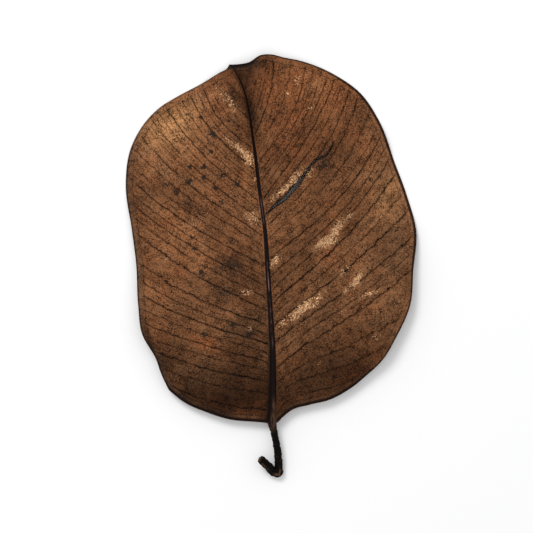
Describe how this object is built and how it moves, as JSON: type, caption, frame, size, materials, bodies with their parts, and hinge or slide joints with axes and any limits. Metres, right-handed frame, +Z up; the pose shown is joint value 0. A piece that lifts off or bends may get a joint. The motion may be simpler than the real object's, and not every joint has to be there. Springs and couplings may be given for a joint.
{
  "type": "autumn leaf",
  "caption": "Dry brown leathery leaf with a broad oval blade, raised midrib, torn side vein and short hooked stalk, curled and lying flat.",
  "frame": {"origin": "centre of the leaf's bounding box in plan, on the surface that it lies on", "axes": "+Z up from the surface, +Y along the leaf from stalk to tip, +X across the blade, to the right when seen from above with the tip away"},
  "size_m": [0.0962, 0.14, 0.0072],
  "materials": {
    "leaf_brown": "dry leathery brown, matte with a faint sheen, dark margin, midrib and stalk"
  },
  "bodies": {
    "root": {"leaf": "leaf_brown"}
  },
  "joints": []
}
